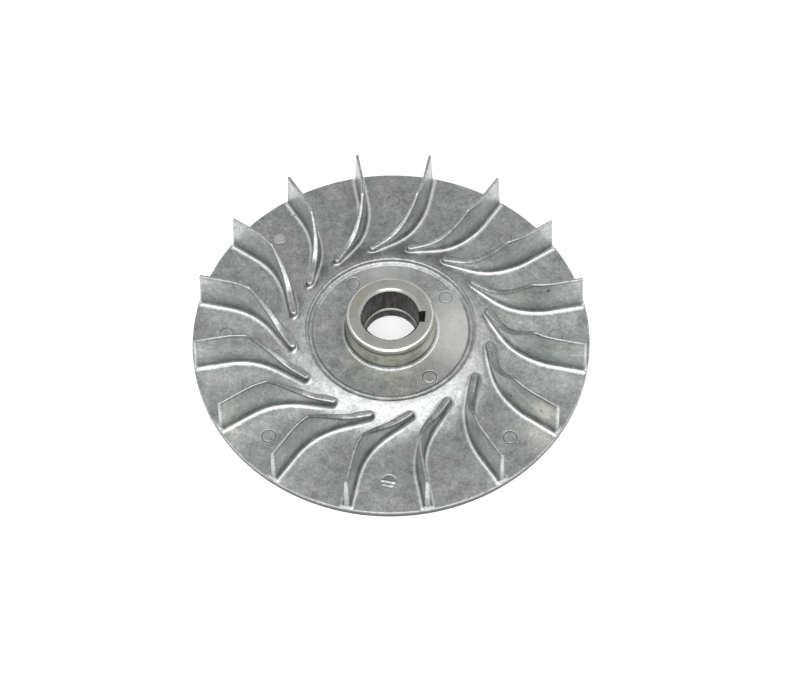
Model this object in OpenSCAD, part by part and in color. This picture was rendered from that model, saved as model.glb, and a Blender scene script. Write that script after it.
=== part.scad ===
// Fan flywheel for a small engine: a die-cast disc with a ring of curved
// cooling blades, cast round a machined steel hub.
// Origin: the shaft's axis at the underside. +Z is the fan side, +X the keyway.

/* [Disc] */
// Outside diameter of the disc
disc_d = 156; // [130:1:190]
// Thickness of the disc between the blades
plate_t = 3.1; // [2:0.1:5]
// Edge break on both corners of the rim
rim_chamfer = 0.35; // [0.1:0.05:0.8]
// Outside diameter of the raised ring
ring_d = 66.8; // [60:0.2:80]
// Width of the raised ring
ring_w = 3.1; // [2:0.1:4]
// Height of the raised ring over the disc
ring_h = 4.6; // [3.8:0.1:6]
// Depth of the flat face inside the ring, below the ring
face_drop = 1.1; // [0.5:0.1:2]
// Slope of the cone outside the ring, in degrees
cone_angle = 22; // [18:1:28]
// Radius that blends the cone into the flat disc
cone_blend_r = 30; // [10:1:40]

/* [Underside] */
// Depth of the relief under the ring
relief_depth = 2.6; // [1:0.1:3]
// Wall between the hub's anchor flange and the relief
relief_hub_wall = 4; // [2:0.5:5]
// Gap from the relief's outer edge out to the foot of the cone
relief_cone_gap = 0.8; // [0:0.1:2]
// Slope of the relief's two walls, in degrees
relief_wall_angle = 35; // [25:1:60]

/* [Blades] */
// Height of the blades over the disc
blade_h = 18.2; // [14:0.2:24]
// Thickness of a blade at its top edge
blade_top_t = 1.2; // [0.8:0.1:2]
// Draft on each side of a blade, in degrees
blade_draft = 1.8; // [1:0.1:3]
// Thickness of the low rib at its top edge
rib_top_t = 2.8; // [1.8:0.1:3.4]
// Height of the low rib over the disc
rib_h = 4.9; // [4.6:0.1:7]
// Length of the straight stretch at the blade's inner end
rib_l = 11.2; // [7:0.2:12]
// Distance along the radius that the low rib covers
rib_run = 5; // [3:0.1:7]
// Distance along the radius over which the top edge falls to the rib
fall_run = 12.5; // [8:0.5:14]
// Gap from the blade's outer end to the rim, at the disc
blade_rim_gap = 0.7; // [0.4:0.1:3]
// How far the blade's outer end leans inward at the top
blade_end_lean = 1.1; // [0:0.1:2]
// Depth of the bend's start inward from the rim
bend_start_in = 13.1; // [10:0.5:16]
// Angle of the bend, in degrees
bend_angle = 43; // [36:1:46]
// Gap between the ring and the blade's inner end
nose_ring_gap = 5.1; // [3:0.1:8]
// Direction of the first blade's outer end from the keyway, in degrees
first_blade_angle = -6.75; // [-11:0.25:11]
// Rounding of a blade's top edge
edge_round = 0.3; // [0.1:0.05:0.5]

/* [Hub] */
// Outside diameter of the hub at its top
hub_d = 34; // [30:0.5:40]
// How much the hub's radius grows from its top down to the casting
hub_flare = 0.9; // [0:0.1:1.5]
// Height of the hub over the disc
hub_h = 14.6; // [10:0.2:20]
// Edge break on the hub's outer top corner
hub_chamfer = 0.5; // [0.2:0.1:1]
// Diameter of the shaft bore
bore_d = 22; // [16:0.5:24]
// Edge break at the mouth of the bore
bore_chamfer = 1; // [0.4:0.1:1.5]
// Width of the step from the shaft bore in to the pilot below it
pilot_step = 0.8; // [0.4:0.1:2]
// Length of the pilot
pilot_l = 4.5; // [3:0.1:6]
// Width of the keyway
key_w = 5; // [3:0.1:6]
// Depth of the keyway beyond the bore
key_depth = 2.5; // [1.5:0.1:3.5]
// How far the anchor flange reaches past the hub, inside the casting
anchor_reach = 4.1; // [2.5:0.1:5]
// Thickness of the anchor flange
anchor_t = 2.4; // [1.5:0.1:3]
// Number of notches that lock the anchor flange
anchor_notches = 8; // [4:1:12]
// Diameter of each notch
notch_d = 5; // [3:0.5:6]

/* [Ejector marks] */
// Diameter of a mark left by an ejector pin
mark_d = 5.3; // [4:0.1:7]
// Depth of a mark
mark_depth = 0.2; // [0.1:0.05:0.4]
// Number of marks near the rim
outer_marks = 8; // [4:1:8]
// Distance of the outer marks inward from the rim
outer_mark_in = 13.3; // [10:0.1:20]
// Direction of the first outer mark, in degrees
outer_mark_angle = 4.75; // [0:0.25:10]
// Number of marks on the flat face inside the ring
inner_marks = 4; // [2:1:4]
// Distance of the inner marks inward from the ring's inner edge
inner_mark_in = 4; // [3.2:0.1:5]
// Direction of the first inner mark, in degrees
inner_mark_angle = 40; // [0:1:90]

/* [Hidden] */
$fn = 96;
// One node for each blade
blade_count = 16;
// Overshoot of a cutting tool past the face that it cuts
cut = 1;
// Colours of the cast aluminium and of the passivated steel
cast_colour = [0.62, 0.64, 0.63];
steel_colour = [0.60, 0.59, 0.50];

disc_r = disc_d / 2;
ring_r = ring_d / 2;
ring_in_r = ring_r - ring_w;
ring_top = plate_t + ring_h;
face_z = ring_top - face_drop;
hub_r = hub_d / 2;
hub_foot_r = hub_r + hub_flare;
anchor_r = hub_foot_r + anchor_reach;
bore_r = bore_d / 2;
pilot_r = bore_r - pilot_step;
hub_top = plate_t + hub_h;
// The step on each side of the ring, and the rounding of the ring's outer edge
ring_step_run = 0.4;
ring_edge_round = 0.5;
// The cone would meet the flat disc at cone_foot_r without its blend
cone_foot_r = ring_r + ring_h / tan(cone_angle);
blend_out_r = cone_foot_r + cone_blend_r * tan(cone_angle / 2);
blend_in_r = blend_out_r - cone_blend_r * sin(cone_angle);
blend_steps = 8;
// The anchor flange sits in the middle of the plate's thickness at the hub
anchor_z = (face_z - anchor_t) / 2;
relief_in_r = anchor_r + relief_hub_wall;
relief_out_r = cone_foot_r - relief_cone_gap;
relief_run = relief_depth / tan(relief_wall_angle);
outer_mark_r = disc_r - outer_mark_in;
inner_mark_r = ring_in_r - inner_mark_in;
// Centreline of a blade: straight from the rim, an arc, then the straight rib.
// The arc's radius is the one that brings the rib's end to the nose radius.
blade_foot_r = disc_r - blade_rim_gap;
bend_start_r = disc_r - bend_start_in;
nose_r = ring_r + nose_ring_gap;
rib_dir = [-cos(bend_angle), sin(bend_angle)];
bend_dir = [-sin(bend_angle), 1 - cos(bend_angle)];
unbent_nose = [bend_start_r, 0] + rib_l * rib_dir;
bend_half_sum = -unbent_nose * bend_dir;
bend_excess = unbent_nose * unbent_nose - nose_r ^ 2;
bend_size = bend_dir * bend_dir;
bend_r = (bend_half_sum - sqrt(bend_half_sum ^ 2 - bend_size * bend_excess)) / bend_size;
bend_end = [bend_start_r, 0] + bend_r * bend_dir;
fall_start_r = nose_r + rib_run + fall_run;
straight_stations = 4;
bend_stations = 12;
rib_stations = 5;
nose_stations = 5;
// The rounded nose turns nearly a quarter circle on each side, and ends blunt
nose_turn = 84;

// Height of the disc's top surface at radius r
function floor_z(r) =
    r >= blend_out_r ? plate_t
    : r >= blend_in_r
        ? plate_t + cone_blend_r - sqrt(cone_blend_r ^ 2 - (blend_out_r - r) ^ 2)
        : plate_t + (cone_foot_r - r) * tan(cone_angle);

// Height of a blade's top edge where its centreline is at radius r
function edge_z(r) =
    let (fallen = min(1, max(0, (fall_start_r - r) / fall_run)))
    plate_t + blade_h + (rib_h - blade_h) * fallen;

// Thickness of a blade's top edge at radius r
function edge_t(r) =
    let (fallen = min(1, max(0, (fall_start_r - r) / fall_run)))
    blade_top_t + (rib_top_t - blade_top_t) * fallen;

// Centreline stations, each [point, direction of travel in degrees, share of full width]
function stations() = [
    for (i = [0 : straight_stations - 1])
        [[blade_foot_r + (bend_start_r - blade_foot_r) * i / straight_stations, 0], 180, 1],
    for (i = [0 : bend_stations - 1])
        let (a = bend_angle * i / bend_stations)
        [[bend_start_r - bend_r * sin(a), bend_r * (1 - cos(a))], 180 - a, 1],
    for (i = [0 : rib_stations - 1])
        rib_station((rib_l - rib_top_t / 2) * i / rib_stations, 1),
    for (i = [0 : nose_stations])
        let (a = nose_turn * i / nose_stations)
        rib_station(rib_l - rib_top_t / 2 * (1 - sin(a)), cos(a))
];

function rib_station(s, width) = [bend_end + s * rib_dir, 180 - bend_angle, width];

// A point of the section at a station: offset sideways and at height z
function side_point(st, offset, z) =
    [st[0].x - offset * sin(st[1]), st[0].y + offset * cos(st[1]), z];

function on_floor(p) = [p.x, p.y, floor_z(norm([p.x, p.y]))];

function shifted(p, dx) = [p.x + dx, p.y, p.z];

// Section of the blade at a station: two floor points and four round the top edge
function section(st, lean) =
    let (
        r = norm(st[0]),
        top = edge_z(r),
        height = top - floor_z(r),
        half_top = edge_t(r) / 2 * st[2],
        half_foot = half_top + height * tan(blade_draft) * st[2],
        round = edge_round * st[2],
        low = top - edge_round
    )
    [
        on_floor(side_point(st, -half_foot, 0)),
        shifted(side_point(st, -half_top, low), -lean),
        shifted(side_point(st, round - half_top, top), -lean),
        shifted(side_point(st, half_top - round, top), -lean),
        shifted(side_point(st, half_top, low), -lean),
        on_floor(side_point(st, half_foot, 0))
    ];

module ejector_mark(radius, angle, face) {
    rotate(angle)
        translate([radius, 0, face - mark_depth])
            cylinder(d = mark_d, h = mark_depth + cut);
}

// Solid of revolution of the whole disc, before the hub and the marks are cut
module disc_body() {
    blend_points = [
        for (i = [0 : blend_steps])
            let (r = blend_out_r + (blend_in_r - blend_out_r) * i / blend_steps)
            [r, floor_z(r)]
    ];
    ring_edge_r = ring_r - ring_edge_round;
    rotate_extrude()
        polygon(concat(
            [
                [disc_r - rim_chamfer, 0],
                [disc_r, rim_chamfer],
                [disc_r, plate_t - rim_chamfer],
                [disc_r - rim_chamfer, plate_t]
            ],
            blend_points,
            [
                [ring_r, floor_z(ring_r)],
                [ring_edge_r, ring_top],
                [ring_in_r + ring_step_run, ring_top],
                [ring_in_r, face_z],
                [0, face_z],
                [0, 0],
                [relief_in_r, 0],
                [relief_in_r + relief_run, relief_depth],
                [relief_out_r - relief_run, relief_depth],
                [relief_out_r, 0]
            ]
        ));
}

// Outside of the hub, which the casting is poured round
module hub_envelope() {
    cylinder(r = hub_foot_r, h = face_z);
    translate([0, 0, face_z])
        cylinder(r1 = hub_foot_r, r2 = hub_r, h = hub_top - hub_chamfer - face_z);
    translate([0, 0, hub_top - hub_chamfer])
        cylinder(r1 = hub_r, r2 = hub_r - hub_chamfer, h = hub_chamfer);
    translate([0, 0, anchor_z])
        difference() {
            cylinder(r = anchor_r, h = anchor_t);
            for (i = [0 : anchor_notches - 1])
                rotate(360 / anchor_notches * (i + 0.5))
                    translate([anchor_r, 0, -cut])
                        cylinder(d = notch_d, h = anchor_t + 2 * cut);
        }
}

module fan_disc() {
    color(cast_colour)
        difference() {
            disc_body();
            hub_envelope();
            for (i = [0 : outer_marks - 1])
                ejector_mark(outer_mark_r, outer_mark_angle + 360 / outer_marks * i, plate_t);
            for (i = [0 : inner_marks - 1])
                ejector_mark(inner_mark_r, inner_mark_angle + 360 / inner_marks * i, face_z);
        }
}

module hub_insert() {
    color(steel_colour)
        difference() {
            hub_envelope();
            translate([0, 0, pilot_l])
                cylinder(r = bore_r, h = hub_top);
            translate([0, 0, -cut])
                cylinder(r = pilot_r, h = hub_top);
            translate([0, 0, hub_top - bore_chamfer])
                cylinder(r1 = bore_r, r2 = bore_r + bore_chamfer + cut, h = bore_chamfer + cut);
            translate([0, -key_w / 2, -cut])
                cube([bore_r + key_depth, key_w, hub_top + 2 * cut]);
        }
}

// One blade, counted from 1, swept along its centreline
module fan_blade(number) {
    path = stations();
    last = len(path) - 1;
    rings = [for (i = [0 : last]) section(path[i], i == 0 ? blade_end_lean : 0)];
    sides = len(rings[0]);
    points = [for (ring = rings) each ring];
    walls = [
        for (i = [0 : last - 1], j = [0 : sides - 1])
            let (a = i * sides + j, b = i * sides + (j + 1) % sides)
            each [[a, b, b + sides], [a, b + sides, a + sides]]
    ];
    outer_end = [[for (j = [sides - 1 : -1 : 0]) j]];
    inner_end = [[for (j = [0 : sides - 1]) last * sides + j]];
    color(cast_colour)
        rotate(first_blade_angle + 360 / blade_count * (number - 1))
            polyhedron(points = points, faces = concat(walls, outer_end, inner_end), convexity = 6);
}

fan_disc();
hub_insert();
fan_blade(1);  // fan_blade_01
fan_blade(2);  // fan_blade_02
fan_blade(3);  // fan_blade_03
fan_blade(4);  // fan_blade_04
fan_blade(5);  // fan_blade_05
fan_blade(6);  // fan_blade_06
fan_blade(7);  // fan_blade_07
fan_blade(8);  // fan_blade_08
fan_blade(9);  // fan_blade_09
fan_blade(10);  // fan_blade_10
fan_blade(11);  // fan_blade_11
fan_blade(12);  // fan_blade_12
fan_blade(13);  // fan_blade_13
fan_blade(14);  // fan_blade_14
fan_blade(15);  // fan_blade_15
fan_blade(16);  // fan_blade_16
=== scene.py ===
import math
import random

import bpy
from mathutils import Matrix, Vector
from mathutils.geometry import delaunay_2d_cdt


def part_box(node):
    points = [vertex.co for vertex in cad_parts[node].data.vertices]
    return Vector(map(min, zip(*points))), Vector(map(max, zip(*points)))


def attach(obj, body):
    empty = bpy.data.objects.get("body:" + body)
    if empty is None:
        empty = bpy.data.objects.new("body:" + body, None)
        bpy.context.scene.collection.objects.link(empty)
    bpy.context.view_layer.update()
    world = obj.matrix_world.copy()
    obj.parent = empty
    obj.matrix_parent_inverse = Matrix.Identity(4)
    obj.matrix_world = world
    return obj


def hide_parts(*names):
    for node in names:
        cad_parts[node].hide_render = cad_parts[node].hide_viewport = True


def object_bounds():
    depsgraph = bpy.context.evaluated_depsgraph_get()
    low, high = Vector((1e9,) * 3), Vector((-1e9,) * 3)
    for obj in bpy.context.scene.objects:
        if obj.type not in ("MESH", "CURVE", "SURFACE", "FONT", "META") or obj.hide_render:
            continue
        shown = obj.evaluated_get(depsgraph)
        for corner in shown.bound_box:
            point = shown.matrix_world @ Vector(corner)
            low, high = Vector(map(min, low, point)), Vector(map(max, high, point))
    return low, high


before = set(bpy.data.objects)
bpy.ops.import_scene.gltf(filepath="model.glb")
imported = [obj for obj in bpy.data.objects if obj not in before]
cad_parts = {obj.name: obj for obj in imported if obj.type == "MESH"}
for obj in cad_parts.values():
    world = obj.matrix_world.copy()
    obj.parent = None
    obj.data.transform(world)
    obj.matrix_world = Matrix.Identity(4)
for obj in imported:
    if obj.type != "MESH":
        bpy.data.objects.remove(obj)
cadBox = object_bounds()
random.seed(16)

mm = 0.001
discR = cadBox[1].x / mm
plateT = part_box("fan_blade_01")[0].z / mm
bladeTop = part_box("fan_blade_01")[1].z / mm
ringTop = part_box("fan_disc")[1].z / mm
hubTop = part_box("hub_insert")[1].z / mm
print("frame: disc radius", round(discR, 2), "mm, blades up to", round(bladeTop, 2), "mm")

# camera: degrees, with the distance in millimetres from the middle of the disc's upper face
camera = {"azimuth": 6.75, "elevation": 58.1, "distance": 690, "roll": -1.45,
          "lens": 79, "sensor": 36, "shift": (0.0114, -0.0056), "nearest": 20}


def direction(azimuth, elevation):  # unit vector from the part to a camera or lamp; azimuth 0 is in front
    a, e = math.radians(azimuth), math.radians(elevation)
    return Vector((math.sin(a) * math.cos(e), -math.cos(a) * math.cos(e), math.sin(e)))


def addCamera(look):
    back = direction(look["azimuth"], look["elevation"])
    data = bpy.data.cameras.new("camera")
    data.lens, data.sensor_width = look["lens"], look["sensor"]
    data.shift_x, data.shift_y = look["shift"]
    data.clip_start = look["nearest"] * mm
    cam = bpy.data.objects.new("camera", data)
    bpy.context.scene.collection.objects.link(cam)
    roll = Matrix.Rotation(math.radians(look["roll"]), 3, "Z")
    turn = back.to_track_quat("Z", "Y").to_matrix() @ roll
    place = Vector((0, 0, plateT * mm)) + back * look["distance"] * mm
    cam.matrix_world = Matrix.Translation(place) @ turn.to_4x4()
    bpy.context.scene.camera = cam


addCamera(camera)


# shaders: a Value is a socket with arithmetic, and a Shader is one material's tree
class Value:
    def __init__(self, shader, socket):
        self.shader, self.socket = shader, socket

    def math(self, operation, *others):
        return self.shader.node("ShaderNodeMath", {"operation": operation}, dict(enumerate((self, *others))))

    def __add__(self, other):
        return self.math("ADD", other)

    def __mul__(self, other):
        return self.math("MULTIPLY", other)

    def __sub__(self, other):
        return self.math("SUBTRACT", other)

    def __rsub__(self, other):
        return self.shader.node("ShaderNodeMath", {"operation": "SUBTRACT"}, {0: other, 1: self})

    __radd__ = __add__
    __rmul__ = __mul__

    def step(self, low, high):  # 0 up to low, 1 from high on, smooth between; low may be the larger
        return self.shader.node("ShaderNodeMapRange", {"interpolation_type": "SMOOTHSTEP"},
                                {"Value": self, "From Min": low, "From Max": high})


class Shader:
    def __init__(self, name, **constants):
        self.material = bpy.data.materials.new(name)
        self.material.use_nodes = True
        self.tree = self.material.node_tree
        self.bsdf = self.tree.nodes["Principled BSDF"]
        for socket, value in constants.items():
            self.bsdf.inputs[socket.replace("_", " ")].default_value = value
        self.place = self.node("ShaderNodeTexCoord", {}, {}, "Object")

    def node(self, kind, settings, sockets, output=0):
        made = self.tree.nodes.new(kind)
        for name, value in settings.items():
            setattr(made, name, value)
        for key, value in sockets.items():
            if isinstance(value, Value):
                self.tree.links.new(value.socket, made.inputs[key])
            else:
                made.inputs[key].default_value = value
        return Value(self, made.outputs[output])

    def noise(self, scale, detail, roughness, where=None):
        return self.node("ShaderNodeTexNoise", {}, {"Vector": where or self.place, "Scale": scale,
                                                    "Detail": detail, "Roughness": roughness})

    def height(self):
        return self.node("ShaderNodeSeparateXYZ", {}, {0: self.place}, "Z")

    def scaled(self, *factors):
        return self.node("ShaderNodeVectorMath", {"operation": "MULTIPLY"}, {0: self.place, 1: factors})

    def away(self, at):  # distance in metres from a point given in millimetres
        return self.node("ShaderNodeVectorMath", {"operation": "DISTANCE"},
                         {0: self.place, 1: tuple(c * mm for c in at)}, "Value")

    def spot(self, at, size, core):  # 1 within the core's share of the size, 0 outside it, in millimetres
        return 1 - self.away(at).step(size * core * mm, size * mm)

    def mix(self, share, first, second):
        return self.node("ShaderNodeMix", {"data_type": "RGBA"}, {0: share, 6: first, 7: second}, 2)

    def bump(self, height, strength, distance, below=None):  # distance in millimetres
        sockets = {"Height": height, "Strength": strength, "Distance": distance * mm}
        if below:
            sockets["Normal"] = below
        return self.node("ShaderNodeBump", {}, sockets)

    def finish(self, **links):
        for socket, value in links.items():
            self.tree.links.new(value.socket, self.bsdf.inputs[socket.replace("_", " ")])
        return self.material


def rgb(r, g, b):
    return (r, g, b, 1.0)


# the casting's finish: a noise is (scale, detail, roughness), a layer of the mottle is
# (noise, value without it, value with all of it, share, colour), a pit's painted shade is (place, size), a
# stain is (colour, place, size, share) and the painted sheen, a painted highlight, is (place, size, share),
# with places and sizes in millimetres
castLook = {"green": rgb(0.455, 0.492, 0.474), "pink": rgb(0.49, 0.486, 0.486),
            "pale": rgb(0.67, 0.69, 0.675), "dull": rgb(0.30, 0.32, 0.31), "paintedShade": rgb(0.05, 0.052, 0.05),
            "cream": rgb(0.84, 0.81, 0.70), "cleanAndHighlight": rgb(0.93, 0.93, 0.91),
            "patches": (95, 3, 0.55), "clouds": (209, 4, 0.62),
            "grain": (620, 4, 0.7), "specks": (1500, 2, 0.6),
            "mottle": [("patches", 0.40, 0.62, 1, "pink"),
                       ("clouds", 0.50, 0.70, 0.8, "pale"), ("clouds", 0.48, 0.32, 0.8, "dull"),
                       ("grain", 0.50, 0.68, 0.6, "dull"), ("grain", 0.48, 0.34, 0.5, "pale"),
                       ("specks", 0.52, 0.66, 0.5, "dull"), ("specks", 0.48, 0.34, 0.4, "pale")],
            "pits": [((60.1, 16.3, 17.2), 0.75), ((48.7, -26.9, 8.5), 0.75), ((47.0, 24.6, 9.5), 0.6),
                     ((36.4, 12.5, 5.7), 0.7), ((-7.2, 18.9, 6.6), 0.55), ((-44.7, 53.8, 3.2), 0.6)],
            "stains": [("cream", (61, -35, 13), 9, 0.95), ("cream", (-54.5, -48.5, 3), 4.5, 0.9),
                       ("cleanAndHighlight", (-49.4, 41.8, 3.1), 3.1, 0.8)],
            "sheen": [((28, 1, 6.6), 25, 1.3), ((-5, 27, 6.6), 17, 0.45)],
            "sheenFloor": (5.8, 6.2), "sheenMiddle": (0, 0, 6.6), "sheenEdge": (29.8, 30.4),
            "cornerShade": 0.8, "roughness": 0.26, "roughClouds": 0.12, "roughGrain": 0.10}


def castAluminium(look):
    s = Shader("cast_aluminium", Metallic=1.0)
    noises = {name: s.noise(*look[name]) for name in ("patches", "clouds", "grain", "specks")}
    clouds, grain, specks = noises["clouds"], noises["grain"], noises["specks"]
    tint = look["green"]
    for name, without, full, share, colour in look["mottle"]:
        tint = s.mix(noises[name].step(without, full) * share, tint, look[colour])
    for colour, at, size, share in look["stains"]:
        tint = s.mix(s.spot(at, size, core=0.2) * clouds.step(0.3, 0.6) * share, tint, look[colour])
    # the painted sheen, a painted highlight, keeps to the flat face inside the ring
    low, high = (z * mm for z in look["sheenFloor"])
    inner, outer = (r * mm for r in look["sheenEdge"])
    onFace = s.height().step(low, high) * (1 - s.away(look["sheenMiddle"]).step(inner, outer))
    patchy = grain.step(0.3, 0.62) * 0.3 + specks.step(0.35, 0.6) * 0.25 + 0.55
    for at, size, share in look["sheen"]:
        tint = s.mix(s.spot(at, size, core=0.1) * onFace * share * patchy, tint, look["cleanAndHighlight"])
    # painted shade: dark spots where the casting's pits are, with a bump for their hollows
    pits = sum(s.spot(at, size, core=0.5) for at, size in look["pits"])
    tint = s.mix(pits, tint, look["paintedShade"])
    # the mesh's own attribute is over 0 where shade is painted and below 0 where a highlight is painted
    corner = s.node("ShaderNodeAttribute", {"attribute_name": "corner"}, {}, "Fac")
    # painted shade where the attribute is over 0, then a painted highlight where it is below 0
    tint = s.mix(corner * look["cornerShade"], tint, look["paintedShade"])
    tint = s.mix(corner * -1, tint, look["cleanAndHighlight"])
    rough = clouds * look["roughClouds"] + grain * look["roughGrain"] + look["roughness"]
    waves = s.bump(clouds, strength=0.35, distance=0.4)
    skin = s.bump(grain, strength=0.30, distance=0.12, below=waves)
    holes = s.bump(1 - pits, strength=0.6, distance=0.3, below=skin)
    return s.finish(Base_Color=tint, Roughness=rough, Normal=holes)


# the hub's finishes: bands of radius and height are in millimetres, and so are the place and size of the
# patch and the pit, whose last number is the core's share of the size
hubLook = {"steel": rgb(0.64, 0.645, 0.62), "olive": rgb(0.44, 0.43, 0.35), "dark": rgb(0.17, 0.165, 0.135),
           "bore": rgb(0.060, 0.056, 0.056), "boreRust": rgb(0.13, 0.112, 0.108),
           "boreDark": rgb(0.022, 0.021, 0.022), "bright": rgb(0.80, 0.80, 0.76),
           "patina": rgb(0.50, 0.48, 0.29), "wallFrom": (16.5, 16.9), "footTo": (7.2, 10.5),
           "grooveFrom": (14.6, 15.1), "grooveTo": (15.8, 16.2),
           "film": (70, 3, 0.6), "stains": (170, 4, 0.62), "cuts": (3800, 2, 0.6), "rust": (300, 5, 0.65),
           "streaks": (900, 3, 0.6), "chamferPatches": (420, 3, 0.6),
           "patch": ((-11.5, 6.5, 17.7), 6.5, 0.3), "pit": ((-5.4, 15.9, 17.6), 0.8, 0.5)}


def turnedSteel(look):
    s = Shader("hub_turned_steel", Metallic=1.0)
    away = s.node("ShaderNodeVectorMath", {"operation": "LENGTH"}, {0: s.scaled(1, 1, 0)}, "Value")
    height = s.height()

    def band(value, name):
        low, high = look[name]
        return value.step(low * mm, high * mm)

    wall = band(away, "wallFrom")
    foot = (1 - band(height, "footTo")) * wall
    groove = band(height, "grooveFrom") * (1 - band(height, "grooveTo")) * wall
    film = s.noise(*look["film"])
    stains = s.noise(*look["stains"], s.scaled(1, 1, 3.5))
    # painted shade: the outer wall is painted darker than the top
    tint = s.mix(wall * 0.62, look["steel"], look["dark"])
    tint = s.mix(film.step(0.30, 0.56) * (wall * 0.6 + 0.10), tint, look["olive"])
    tint = s.mix(film.step(0.25, 0.55) * s.spot(*look["patch"]) * 0.8, tint, look["patina"])
    tint = s.mix(stains.step(0.46, 0.64) * (wall * 0.45 + 0.2), tint, look["dark"])
    # painted shade along the wall's foot and in the turned groove
    tint = s.mix(foot * 0.7 + groove * 0.75, tint, look["dark"])
    # painted shade in a pit, in the bore's near-black colour
    tint = s.mix(s.spot(*look["pit"]), tint, look["bore"])
    spiral = s.node("ShaderNodeCombineXYZ", {}, {"X": away + height * 0.8})
    cuts = s.noise(*look["cuts"], spiral)
    rough = stains * 0.12 + cuts * 0.10 + 0.22
    turned = s.bump(cuts, strength=0.30, distance=0.06)
    dents = s.bump(stains, strength=0.25, distance=0.25, below=turned)
    return s.finish(Base_Color=tint, Roughness=rough, Normal=dents)


def boreSteel(look):
    s = Shader("hub_bore_steel", Metallic=0.85)
    rust = s.noise(*look["rust"])
    streaks = s.noise(*look["streaks"], s.scaled(1, 1, 0.12))  # drawn out along the bore
    # the bore's near-black colour is painted shade inside the hole; its rust and streaks are the bore's own
    tint = s.mix(rust.step(0.45, 0.70), look["bore"], look["boreRust"])
    tint = s.mix(streaks.step(0.45, 0.62) * 0.75, tint, look["boreDark"])
    pitted = s.bump(rust, strength=0.3, distance=0.2)
    return s.finish(Base_Color=tint, Roughness=rust * 0.2 + 0.40, Normal=pitted)


def brightSteel(look):
    s = Shader("hub_chamfer_steel", Metallic=1.0)
    chamferPatches = s.noise(*look["chamferPatches"])
    # painted highlight: the chamfers are painted lighter than the turned steel, broken up by patches
    tint = s.mix(chamferPatches.step(0.5, 0.8) * 0.5, look["bright"], look["steel"])
    return s.finish(Base_Color=tint, Roughness=chamferPatches * 0.15 + 0.2)


castFinish = castAluminium(castLook)
hubFinishes = {"turned": turnedSteel(hubLook), "bore": boreSteel(hubLook), "bright": brightSteel(hubLook)}
print("finishes made")


# mesh helpers: points are in millimetres until addPiece
def addPiece(name, points, faces, materials, faceMaterial=None, corner=None, sharp=35):
    mesh = bpy.data.meshes.new(name)
    mesh.from_pydata([(x * mm, y * mm, z * mm) for x, y, z in points], [], faces)
    for material in materials:
        mesh.materials.append(material)
    if faceMaterial:
        mesh.polygons.foreach_set("material_index", faceMaterial)
    if corner:
        mesh.attributes.new("corner", "FLOAT", "POINT").data.foreach_set("value", corner)
    mesh.validate()
    mesh.shade_smooth()
    mesh.set_sharp_from_angle(angle=math.radians(sharp))
    piece = bpy.data.objects.new(name, mesh)
    bpy.context.scene.collection.objects.link(piece)
    return piece


def arc(cx, cz, radius, start, end, steps):  # (r, z) points round a corner, angles in degrees
    angles = [math.radians(start + (end - start) * i / steps) for i in range(steps + 1)]
    return [(cx + radius * math.cos(a), cz + radius * math.sin(a)) for a in angles]


def joinLoops(first, second, count):  # quads between two closed loops of the same length
    return [(first + i, first + (i + 1) % count, second + (i + 1) % count, second + i) for i in range(count)]


# the casting's disc: millimetres and degrees; the ring's section is (out from its rim, up from its top)
disc = {"cone": 22, "coneBlend": 30, "ringR": 33.4, "ringW": 3.1, "faceDrop": 1.1, "rimEdge": 0.35,
        "beadR": 0.4, "trough": [(-0.52, -0.03), (-0.85, -0.23), (-1.0, -0.28), (-1.2, -0.26)],
        "troughAt": 1.05, "hubR": 17.92, "hubRoot": 1.3, "anchorR": 22.1, "anchorZ": (2.05, 4.55),
        "reliefR": (26, 44), "reliefDepth": 2.6, "reliefWall": 3.7,
        "turns": 360, "blendSteps": 16, "coneSteps": 5,
        "rimShade": (1.15, 0.8), "troughShade": 0.5, "troughFade": 0.6}
coneFootR = disc["ringR"] + (ringTop - plateT) / math.tan(math.radians(disc["cone"]))
blendOutR = coneFootR + disc["coneBlend"] * math.tan(math.radians(disc["cone"] / 2))
blendInR = blendOutR - disc["coneBlend"] * math.sin(math.radians(disc["cone"]))
faceZ = ringTop - disc["faceDrop"]


def floorZ(r):
    if r >= blendOutR:
        return plateT
    if r >= blendInR:
        return plateT + disc["coneBlend"] - math.sqrt(disc["coneBlend"] ** 2 - (blendOutR - r) ** 2)
    return plateT + (coneFootR - r) * math.tan(math.radians(disc["cone"]))


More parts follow.
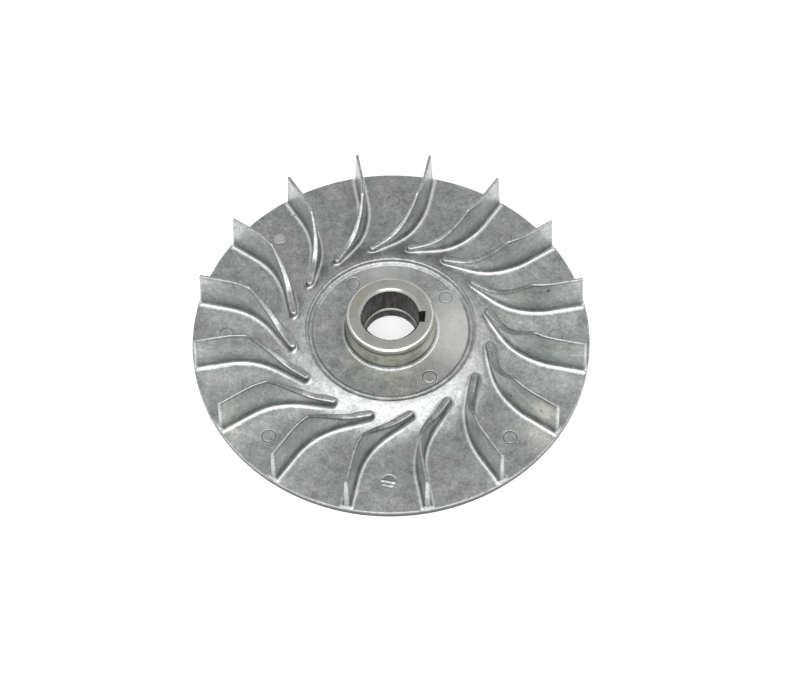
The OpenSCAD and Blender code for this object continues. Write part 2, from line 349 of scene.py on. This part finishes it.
def discProfiles():
    # two open runs of (r, z): the cone and ring, and everything from the hub's root round to the rim
    ringR, ringIn = disc["ringR"], disc["ringR"] - disc["ringW"]
    # the hollow blend at the cone's foot, the cone, and its corner with the ring
    blendSteps, coneSteps = disc["blendSteps"], disc["coneSteps"]
    coneRs = [blendOutR + 0.3]
    coneRs += [blendOutR + (blendInR - blendOutR) * i / blendSteps for i in range(blendSteps + 1)]
    coneRs += [blendInR + (ringR + 0.5 - blendInR) * i / coneSteps for i in range(1, coneSteps + 1)]
    middle = [(r, floorZ(r)) for r in coneRs]
    middle += [(ringR + 0.25, floorZ(ringR + 0.4) + 0.02), (ringR + 0.02, ringTop - 0.03)]
    # the ring: a bead, a trough, a broad top and the step down to the flat face
    middle += arc(ringR - disc["beadR"], ringTop - disc["beadR"], disc["beadR"], 30, 90, 5)
    middle += [(ringR + out, ringTop + up) for out, up in disc["trough"]]
    middle += [(ringIn + 1.2, ringTop - 0.08), (ringIn + 1.0, ringTop - 0.03)]
    middle += [(ringIn + 0.85, ringTop - 0.10), (ringIn + 0.06, faceZ + 0.16)]
    middle += [(ringIn - 0.12, faceZ + 0.03), (ringIn - 0.32, faceZ)]
    # the root round the hub, the hub's seat and the wider seat of its anchor flange
    root, hubR, edge = disc["hubRoot"], disc["hubR"], disc["rimEdge"]
    outside = [(hubR + root + 0.6, faceZ), (hubR + root + 0.3, faceZ)]
    outside += arc(hubR + root, faceZ + root, root, 270, 184, 8)
    low, high = disc["anchorZ"]
    outside += [(hubR, high), (disc["anchorR"], high), (disc["anchorR"], low), (hubR, low), (hubR, 0.3)]
    outside += [(hubR + 0.3, 0)]
    # the relief underneath and the rim
    inR, outR = disc["reliefR"]
    depth, wall = disc["reliefDepth"], disc["reliefWall"]
    flank = [(-0.6, 0), (-0.2, 0.08), (0.4, 0.42), (wall - 0.6, depth - 0.4), (wall, depth - 0.08),
             (wall + 0.6, depth)]
    outside += [(inR + inwards, z) for inwards, z in flank]
    outside += [(outR - inwards, z) for inwards, z in reversed(flank)]
    outside += [(discR - edge - 0.4, 0)] + arc(discR - edge, edge, edge, -90, 0, 5)
    outside += [(discR, edge + 0.3), (discR, plateT / 2), (discR, plateT - edge - 0.25)]
    outside += arc(discR - edge, plateT - edge, edge, 0, 90, 5) + [(discR - edge - 0.3, plateT)]
    return middle, outside


# ejector-pin marks: a kind is the height of each of its parts, and a mark's hollows get painted shade, this
# much for a millimetre of depth
marks = {"diameter": 5.3, "margin": 0.85, "turns": 48, "steps": 26, "barsAt": (-1.75, -0.15), "barsTurn": -7,
         "outer": {"radius": 64.7, "at": 4.75, "kinds": ["faint", "faint", "faint", "pad",
                                                         "faint", "ring", "bars", "ring"]},
         "inner": {"radius": 26.3, "at": 40, "kinds": ["ring", "ring", "dish", "deep"]},
         "pad": {"inside": 0.10, "groove": -0.05}, "dish": {"bowl": -0.07},
         "bars": {"inside": -0.12, "groove": -0.10, "bars": 0.40},
         "deep": {"groove": -0.22, "lip": 0.10, "inside": 0.04},
         "ring": {"groove": -0.14, "lip": 0.05}, "faint": {"groove": -0.08, "lip": 0.02},
         "depthShade": {"pad": 9, "dish": 4.5, "bars": 2.5, "deep": 9, "ring": 9, "faint": 9}, "depthShadeMost": 0.85}


def markHeight(kind, x, y):
    # height of a mark over the face that it is in, at x, y from its middle
    beyond = math.hypot(x, y) - marks["diameter"] / 2

    def hump(distance, width, power=2):
        return math.exp(-(distance / width) ** power)

    def within(distance, softness):
        return 1 / (1 + math.exp(distance / softness))

    parts = {"groove": hump(beyond, 0.24), "lip": hump(beyond - 0.34, 0.18),
             "inside": within(beyond + 0.1, 0.08), "bowl": within(beyond + 0.2, 0.22),
             "bars": sum(hump(y - at, 0.42, 4) for at in marks["barsAt"]) * within(beyond - 0.1, 0.07)}
    return sum(height * parts[part] for part, height in marks[kind].items())


def addMark(points, faces, corner, at, kind, z, turned):
    # a round patch of rings, whose outermost loop is the hole's own loop; returns that loop's indices
    turns, rings = marks["turns"], marks["steps"]
    reach = marks["diameter"] / 2 + marks["margin"]
    turn = Matrix.Rotation(math.radians(turned), 2)
    start = len(points)
    for ring in range(rings):
        r = reach * (1 - ring / rings)
        for i in range(turns):
            a = 2 * math.pi * i / turns
            place = Vector((r * math.cos(a), r * math.sin(a)))
            lift = markHeight(kind, *place) if ring else 0
            points.append((*(at + turn @ place), z + lift))
            # painted shade in the mark's hollows, darker where deeper
            corner.append(min(marks["depthShadeMost"], max(0, -lift * marks["depthShade"][kind])))
    points.append((*at, z + markHeight(kind, 0, 0)))
    corner.append(0)
    for ring in range(rings - 1):
        faces += joinLoops(start + ring * turns, start + (ring + 1) * turns, turns)
    last = start + (rings - 1) * turns
    faces += [(last + i, last + (i + 1) % turns, len(points) - 1) for i in range(turns)]
    return list(range(start, start + turns))


def addMarks(points, faces, corner, row, z):
    # one round of marks; returns the loop of each one's hole
    loops = []
    for k, kind in enumerate(row["kinds"]):
        turned = row["at"] + 360 / len(row["kinds"]) * k
        at = Matrix.Rotation(math.radians(turned), 2) @ Vector((row["radius"], 0))
        faced = marks["barsTurn"] if kind == "bars" else turned
        loops.append(addMark(points, faces, corner, at, kind, z, faced))
    return loops


def addFlatFace(points, faces, loops):
    # fills the flat face between an outer loop, an inner loop and round holes; each loop is a list of indices
    flat = [i for loop in loops for i in loop]
    edges, base = [], 0
    for loop in loops:
        edges += [(base + i, base + (i + 1) % len(loop)) for i in range(len(loop))]
        base += len(loop)
    places = [Vector(points[i][:2]) for i in flat]
    made = delaunay_2d_cdt(places, edges, [], 0, 1e-6)
    origin = [flat[o[0]] for o in made[3]]
    holes = []
    for loop in loops[1:]:
        middle = sum((Vector(points[i][:2]) for i in loop), Vector((0, 0))) / len(loop)
        radius = (Vector(points[loop[0]][:2]) - middle).length
        holes.append((middle, radius * math.cos(math.pi / len(loop))))  # to the middle of an edge
    for face in made[2]:
        centre = sum((made[0][v] for v in face), Vector((0, 0))) / len(face)
        if centre.length > Vector(points[loops[0][0]][:2]).length:
            continue
        if any((centre - middle).length < reach for middle, reach in holes):
            continue
        corners = [made[0][v] for v in face]
        turn = (corners[1] - corners[0]).cross(corners[2] - corners[0])
        faces.append(tuple(origin[v] for v in (face if turn > 0 else reversed(face))))


def discShade(r, z):
    # share of painted shade on the rim's side, most of it low down, and in the ring's trough
    onSide = r > discR - 0.12 and z < plateT - disc["rimEdge"]
    if onSide:
        lower, upper = disc["rimShade"]
        return lower if z < plateT * 0.6 else upper
    if z < faceZ + 0.6:
        return 0
    fromTrough = abs(r - disc["ringR"] + disc["troughAt"])
    return max(0, disc["troughShade"] - fromTrough * disc["troughFade"])


def makeDisc():
    turns = disc["turns"]
    points, faces, corner, ends = [], [], [], []
    for run in discProfiles():
        start = len(points)
        for r, z in run:
            for i in range(turns):
                a = 2 * math.pi * (i + 0.5) / turns
                points.append((r * math.cos(a), r * math.sin(a), z))
                corner.append(discShade(r, z))
        faces += [f for k in range(len(run) - 1)
                  for f in joinLoops(start + k * turns, start + (k + 1) * turns, turns)]
        ends.append((list(range(start, start + turns)), list(range(len(points) - turns, len(points)))))
    (coneOuter, coneInner), (rootOuter, rimInner) = ends
    outerLoops = addMarks(points, faces, corner, marks["outer"], plateT)
    innerLoops = addMarks(points, faces, corner, marks["inner"], faceZ)
    addFlatFace(points, faces, [rimInner, coneOuter] + outerLoops)
    addFlatFace(points, faces, [coneInner, rootOuter] + innerLoops)
    piece = addPiece("casting_disc", points, faces, [castFinish], corner=corner, sharp=50)
    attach(piece, "root")
    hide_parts("fan_disc")
    print("disc made:", len(points), "points")


makeDisc()

# the casting's blades: millimetres and degrees; fallR is where the top falls from the blade to the rib
blade = {"count": 16, "firstAt": -6.75, "footR": 77.3, "bendStartR": 64.9, "bend": 43,
         "ribL": 11.2, "noseR": 38.5, "fallR": (56, 43.5), "ribH": 4.9, "topT": 1.2, "ribT": 2.8,
         "draft": 1.8, "root": 1.8, "ribRoot": 1.6, "endRoot": 0.55, "edge": 0.5, "ribEdge": 0.85,
         "endCorner": (0.8, 0.42), "endLean": 1.1, "endSwell": 0.2, "swellL": 2.5,
         "kinkSoft": 0.35, "ribSoft": 2.2,
         "sunk": 0.12, "sunkOut": 0.15, "sunkEnd": 0.1, "lower": (0.1, 0.2), "thicker": (0.96, 1.05),
         "endFade": 3, "stations": 110, "noseTurns": 16, "cornerSteps": 3}


def bendRadius(b):
    # the bend's radius that brings the rib's end to noseR
    a = math.radians(b["bend"])
    end = Vector((b["bendStartR"] - b["ribL"] * math.cos(a), b["ribL"] * math.sin(a)))
    way = Vector((-math.sin(a), 1 - math.cos(a)))
    half = -end.dot(way)
    return (half - math.sqrt(half ** 2 - way.dot(way) * (end.dot(end) - b["noseR"] ** 2))) / way.dot(way)


blade["bendR"] = bendRadius(blade)
bendLength = blade["bendR"] * math.radians(blade["bend"])
bladeLength = blade["footR"] - blade["bendStartR"] + bendLength + blade["ribL"]


def bladeLine(s):
    # point on the centreline and direction of travel, s millimetres in from the outer end
    straight = blade["footR"] - blade["bendStartR"]
    if s <= straight:
        return Vector((blade["footR"] - s, 0)), Vector((-1, 0))
    a = min((s - straight) / blade["bendR"], math.radians(blade["bend"]))
    way = Vector((-math.cos(a), math.sin(a)))
    point = Vector((blade["bendStartR"] - blade["bendR"] * math.sin(a), blade["bendR"] * (1 - math.cos(a))))
    return point + way * max(0, s - straight - bendLength), way


def softMax(a, b, soft):
    return (a + b + math.sqrt((a - b) ** 2 + soft ** 2)) / 2


def bladeShape(r, high):
    # height over the disc, half thickness, edge rounding and root where the centreline is at radius r
    start, end = blade["fallR"]
    ramp = high - (high - blade["ribH"]) * (start - r) / (start - end)
    top = softMax(blade["ribH"], -softMax(-high, -ramp, blade["kinkSoft"]), blade["ribSoft"])
    fallen = min(1, max(0, (high - top) / (high - blade["ribH"])))

    def between(outer, inner, share):
        return blade[outer] + (blade[inner] - blade[outer]) * share

    return (top, between("topT", "ribT", fallen) / 2, between("edge", "ribEdge", fallen),
            between("root", "ribRoot", fallen))


def bladeLevels():
    # (kind, share) of each loop from the foot up: sunk edge, root fillet, wall, rounded top edge
    return ([("sunk", 0)] + [("root", i / 8) for i in range(9)] + [("wall", i / 6) for i in range(1, 6)]
            + [("wall", 0.94), ("wall", 1)] + [("edge", i / 5) for i in range(1, 6)])


def bladePoint(base, sideways, endways, level, high, thicker):
    # one point of a loop: base is (s, point), sideways a unit vector, endways a vector out along the blade
    kind, share = level
    s, centre = base
    draft = math.tan(math.radians(blade["draft"]))
    top, half, edge, root = bladeShape(centre.length, high)
    half = half * thicker + blade["endSwell"] * max(0, 1 - s / blade["swellL"]) ** 2
    topZ = plateT + top
    footZ = floorZ((centre + sideways * (half + root)).length)
    tall = topZ - footZ
    root = min(root, tall * 0.95 - edge)
    if kind in ("sunk", "root"):
        a = math.pi / 2 * share
        lift = root * (1 - math.cos(a))
        out = half + (tall - root) * draft + root * (1 - math.sin(a))
        endOut = blade["endRoot"] * (1 - math.sin(a))
        if kind == "sunk":
            out, endOut, lift = out + blade["sunkOut"], endOut + blade["sunkEnd"], -blade["sunk"]
    elif kind == "wall":
        lift = root + (tall - edge - root) * share
        out = half + (tall - lift) * draft
        endOut = -blade["endLean"] * (lift - root) / max(tall - root, 1)
    else:
        a = math.pi / 2 * share
        lift = tall - edge + edge * math.sin(a)
        out = half - edge * (1 - math.cos(a))
        endOut = -blade["endLean"] - edge * (1 - math.cos(a)) * 0.6
    place = centre + sideways * out + endways * endOut
    z = floorZ(place.length) + lift if kind in ("sunk", "root") else footZ + lift
    return place.x, place.y, z


def bladeLoop(level, high, thicker):
    n, turns = blade["stations"], blade["noseTurns"]
    first, last = blade["endCorner"][0], bladeLength - blade["ribT"] / 2
    stops = [first + (last - first) * i / n for i in range(n + 1)]
    none = Vector((0, 0))
    sides = []
    for s in stops:
        centre, way = bladeLine(s)
        fade = max(0, 1 - (s - first) / blade["endFade"]) ** 2
        sides.append((s, centre, Vector((-way.y, way.x)), -way * fade))
    loop = [bladePoint((s, c), side, endways, level, high, thicker) for s, c, side, endways in sides]
    centre, way = bladeLine(last)
    side = Vector((-way.y, way.x))
    for i in range(1, turns):
        a = math.pi * i / turns
        around = side * math.cos(a) + way * math.sin(a)
        loop.append(bladePoint((last, centre), around, none, level, high, thicker))
    loop += [bladePoint((s, c), -side, endways, level, high, thicker)
             for s, c, side, endways in reversed(sides)]
    # outer end: from the right corner to the left corner
    centre, way = bladeLine(first)
    side = Vector((-way.y, way.x))
    corner, share = blade["endCorner"]
    right, left = Vector(loop[-1]), Vector(loop[0])
    outward = Vector((-way.x, -way.y, 0))
    across = (left - right).normalized()
    inset = (left - right).length * share
    steps = blade["cornerSteps"]
    for i in range(1, steps + 1):
        a = math.pi / 2 * i / steps
        loop.append(tuple(right + outward * corner * math.sin(a) + across * inset * (1 - math.cos(a))))
    for i in range(steps, 0, -1):
        a = math.pi / 2 * i / steps
        loop.append(tuple(left + outward * corner * math.sin(a) - across * inset * (1 - math.cos(a))))
    return loop


def bladeShade(kind, share):
    # painted shade on a loop: at the wall's foot and under its top edge, and a painted highlight along the
    # root's middle
    if kind == "root":
        return -0.45 if 0.2 < share < 0.52 else max(0, share - 0.6) * 1.4
    if kind == "wall":
        return max(0, 0.75 - share * 1.9, share * 7 - 6.6)
    return max(0, 0.4 - share) if kind == "edge" else 0


def makeBlade(number):
    high = bladeTop - plateT - random.uniform(*blade["lower"])
    thicker = random.uniform(*blade["thicker"])
    levels = bladeLevels()
    turned = Matrix.Rotation(math.radians(blade["firstAt"] + 360 / blade["count"] * (number - 1)), 3, "Z")
    points, corner, faces = [], [], []
    for kind, share in levels:
        loop = bladeLoop((kind, share), high, thicker)
        points += [turned @ Vector(p) for p in loop]
        corner += [bladeShade(kind, share)] * len(loop)
    count = len(loop)
    for k in range(len(levels) - 1):
        faces += joinLoops((k + 1) * count, k * count, count)  # the loops run clockwise
    # the top is closed by quads between the two sides, and so is the underside
    n, turns = blade["stations"], blade["noseTurns"]
    noseHalf, sideEnd = turns // 2, 2 * n + turns
    steps = blade["cornerSteps"]
    pairs = [(count - steps + k, sideEnd + steps - k) for k in range(steps)]
    pairs += [(k, sideEnd - k) for k in range(n + noseHalf)]
    for start, flip in ((len(points) - count, False), (0, True)):
        for (a, b), (c, d) in zip(pairs, pairs[1:]):
            quad = (start + a, start + c, start + d, start + b)
            faces.append(tuple(reversed(quad)) if not flip else quad)
        a, b = pairs[-1]
        tip = (start + a, start + a + 1, start + b)
        faces.append(tuple(reversed(tip)) if not flip else tip)
    name = "casting_blade_%02d" % number
    piece = addPiece(name, points, faces, [castFinish], corner=corner, sharp=60)
    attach(piece, "root")
    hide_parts("fan_blade_%02d" % number)
    return len(points)


total = sum(makeBlade(number) for number in range(1, blade["count"] + 1))
print("blades made:", total, "points")

# the hub: millimetres; keySteps is how many points each side and end of the keyway has
hub = {"topR": 17.0, "footR": 17.9, "boreR": 11, "boreChamfer": 1.0, "pilotR": 10.2, "pilotL": 4.5,
       "keyHalf": 2.5, "keyReach": 13.5, "keySteps": 4, "anchorR": 22, "anchorZ": (2.1, 4.5), "turns": 240}


def hubOutline(r, keyed, count):
    # a loop of count points: a circle, or a circle of radius r with the keyway cut out on the +X side
    def around(start, steps):
        turn = 2 * math.pi - 2 * start
        return [(r * math.cos(start + turn * i / steps), r * math.sin(start + turn * i / steps))
                for i in range(steps)]

    if not keyed:
        return around(0, count)
    half, reach, steps = hub["keyHalf"], hub["keyReach"], hub["keySteps"]
    mouth = math.sqrt(r * r - half * half)
    loop = [(reach, half * i / steps) for i in range(steps)]
    loop += [(reach + (mouth - reach) * i / steps, half) for i in range(steps)]
    loop += around(math.asin(half / r), count - 4 * steps)
    loop += [(mouth + (reach - mouth) * i / steps, -half) for i in range(steps)]
    loop += [(reach, -half + half * i / steps) for i in range(steps)]
    return loop


def hubRuns():
    # (radius, height, keyed, finish) of each loop, from the foot up the outside and down the bore
    top, low, high = hubTop, *hub["anchorZ"]
    foot, head = hub["footR"], hub["topR"]

    def wallR(z):
        return foot + (head - foot) * (z - faceZ) / (top - faceZ)

    out = [(foot - 0.4, 0), (foot, 0.4), (foot, low), (hub["anchorR"], low), (hub["anchorR"], high),
           (foot, high), (foot, faceZ)]
    out += [(wallR(z), z) for z in (faceZ + 1.4, faceZ + 2.8, faceZ + 4.2, faceZ + 5.6, top - 3.6, top - 2.9)]
    # the turned groove, then the corner round the top with its bright chamfer
    out += [(wallR(top - 2.6) - 0.06, top - 2.65), (wallR(top - 2.2) - 0.16, top - 2.3),
            (wallR(top - 1.9) - 0.16, top - 1.9), (wallR(top - 1.6) - 0.02, top - 1.55),
            (wallR(top - 1.2), top - 1.25), (head + 0.03, top - 0.85), (head - 0.08, top - 0.66)]
    out = [(r, z, False, "turned") for r, z in out]
    out += [(head - 0.42, top - 0.30, False, "bright"), (head - 0.88, top - 0.05, False, "bright"),
            (head - 1.15, top, False, "turned")]
    bore, ease, pilot, step = hub["boreR"], hub["boreChamfer"], hub["pilotR"], hub["pilotL"]
    inside = [(bore + ease + 0.25, top, "turned"), (bore + ease, top - 0.04, "bright"),
              (bore + 0.12, top - ease + 0.08, "bright"), (bore, top - ease - 0.12, "bore"),
              (bore, step + 0.8, "bore"), (bore, step + 0.4, "bore"), (bore - 0.25, step + 0.14, "turned"),
              (pilot + 0.1, step + 0.04, "turned"), (pilot, step - 0.1, "bore"), (pilot, 0.5, "bore"),
              (pilot + 0.5, 0, "bore")]
    return out + [(r, z, True, finish) for r, z, finish in inside]


def makeHub():
    count, runs, kinds = hub["turns"], hubRuns(), list(hubFinishes)
    keyway = 2 * hub["keySteps"]
    points, faces, look = [], [], []
    for k, (r, z, keyed, _) in enumerate(runs):
        points += [(x, y, z) for x, y in hubOutline(r, keyed, count)]
        after = (k + 1) % len(runs)
        faces += joinLoops(k * count, after * count, count)
        for i in range(count):  # a face has the next loop's finish, and the keyway's sides have the bore's
            inKeyway = keyed and after and (i < keyway or i >= count - keyway)
            look.append(kinds.index("bore" if inKeyway else runs[after][3] if after else "turned"))
    piece = addPiece("hub_steel", points, faces, list(hubFinishes.values()), faceMaterial=look, sharp=28)
    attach(piece, "root")
    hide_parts("hub_insert")
    print("hub made:", len(points), "points")


makeHub()

# floor and lights: degrees, with lamps' distances and sizes and the floor in metres
studio = {"floor": rgb(0.90, 0.90, 0.90), "floorHalf": 4.0, "floorZ": -0.0002, "glow": 0.42,
          "world": rgb(1, 1, 1), "worldStrength": 0.45}
lamps = {"key": {"azimuth": 6.75, "elevation": 75, "distance": 1.1, "size": (1.3, 0.62), "power": 5.2},
         "front": {"azimuth": 6.75, "elevation": 44, "distance": 1.3, "size": (1.4, 0.75), "power": 5.2},
         "left": {"azimuth": -80, "elevation": 48, "distance": 1.3, "size": (0.9, 0.7), "power": 2.2},
         "right": {"azimuth": 95, "elevation": 48, "distance": 1.3, "size": (0.9, 0.7), "power": 2.2},
         "farLeft": {"azimuth": -128, "elevation": 36, "distance": 1.3, "size": (0.7, 0.5), "power": 0.5},
         "farRight": {"azimuth": 145, "elevation": 38, "distance": 1.3, "size": (0.7, 0.5), "power": 0.8},
         "far": {"azimuth": 186.75, "elevation": 13, "distance": 1.5, "size": (1.6, 0.5), "power": 0.6}}


def addLight(name, light):
    back = direction(light["azimuth"], light["elevation"])
    data = bpy.data.lights.new(name, "AREA")
    data.shape = "RECTANGLE"
    data.size, data.size_y = light["size"]
    data.energy = light["power"]
    lamp = bpy.data.objects.new(name, data)
    lamp.location = back * light["distance"]
    lamp.rotation_euler = back.to_track_quat("Z", "Y").to_euler()
    bpy.context.scene.collection.objects.link(lamp)


def addStage():
    s = Shader("studio_floor", Roughness=0.9)
    s.bsdf.inputs["Base Color"].default_value = studio["floor"]
    s.bsdf.inputs["Emission Color"].default_value = studio["world"]
    s.bsdf.inputs["Emission Strength"].default_value = studio["glow"]
    mesh = bpy.data.meshes.new("floor")
    half = studio["floorHalf"]
    corners = [(-half, -half, 0), (half, -half, 0), (half, half, 0), (-half, half, 0)]
    mesh.from_pydata(corners, [], [(0, 1, 2, 3)])
    mesh.materials.append(s.material)
    floor = bpy.data.objects.new("floor", mesh)
    floor.location.z = studio["floorZ"]
    bpy.context.scene.collection.objects.link(floor)
    world = bpy.data.worlds.new("studio")
    world.use_nodes = True
    background = world.node_tree.nodes["Background"]
    background.inputs["Color"].default_value = studio["world"]
    background.inputs["Strength"].default_value = studio["worldStrength"]
    bpy.context.scene.world = world


addStage()
for name, light in lamps.items():
    addLight(name, light)
bpy.context.scene.view_settings.view_transform = "Standard"
print("stage and lights made")
